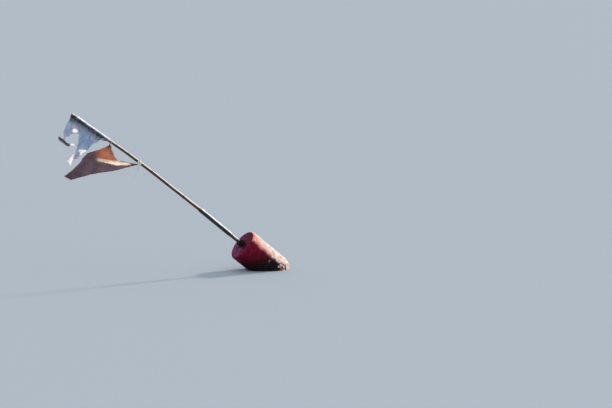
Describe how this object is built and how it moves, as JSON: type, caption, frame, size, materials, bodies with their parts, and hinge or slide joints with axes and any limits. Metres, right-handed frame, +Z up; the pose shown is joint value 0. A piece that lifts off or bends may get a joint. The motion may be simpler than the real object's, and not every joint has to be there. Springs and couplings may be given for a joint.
{
  "type": "lobster pot buoy",
  "caption": "Home-made lobster pot buoy: a red bullet-shaped float on a leaning bamboo cane, with a torn film flag and a cloth flag near the tip and a ballast weight at the foot.",
  "frame": {"origin": "where the float's axis meets the water, at the waterline mount", "axes": "+Z up; the cane leans towards -X from the float, in the plane Y = 0"},
  "size_m": [2.2896, 0.25, 1.7289],
  "materials": {
    "bamboo": "weathered",
    "red_foam": "faded and scuffed",
    "black_pipe": "semi-gloss",
    "dark_twine": "tarred",
    "pale_twine": "frayed",
    "white_film": "translucent film",
    "orange_cloth": "faded cloth",
    "iron": "rusty",
    "galvanised_steel": "dull zinc"
  },
  "bodies": {
    "root": {"bamboo_cane": "bamboo", "float_body": "red_foam", "pole_sleeve": "black_pipe", "top_stop_lashing": "dark_twine", "bottom_stop_lashing": "dark_twine", "tip_lashing": "dark_twine", "lower_flag_top_tie": "pale_twine", "lower_flag_top_knot": "dark_twine", "corner_twine": "pale_twine", "corner_knot": "pale_twine", "twine_tail": "pale_twine", "upper_flag_hem": "white_film", "upper_flag": "white_film", "lower_flag": "orange_cloth", "ballast_weight": "iron", "mooring_strap": "galvanised_steel", "foot_bolt": "galvanised_steel", "foot_nut": "galvanised_steel", "head_washer": "galvanised_steel", "nut_washer": "galvanised_steel"}
  },
  "joints": []
}
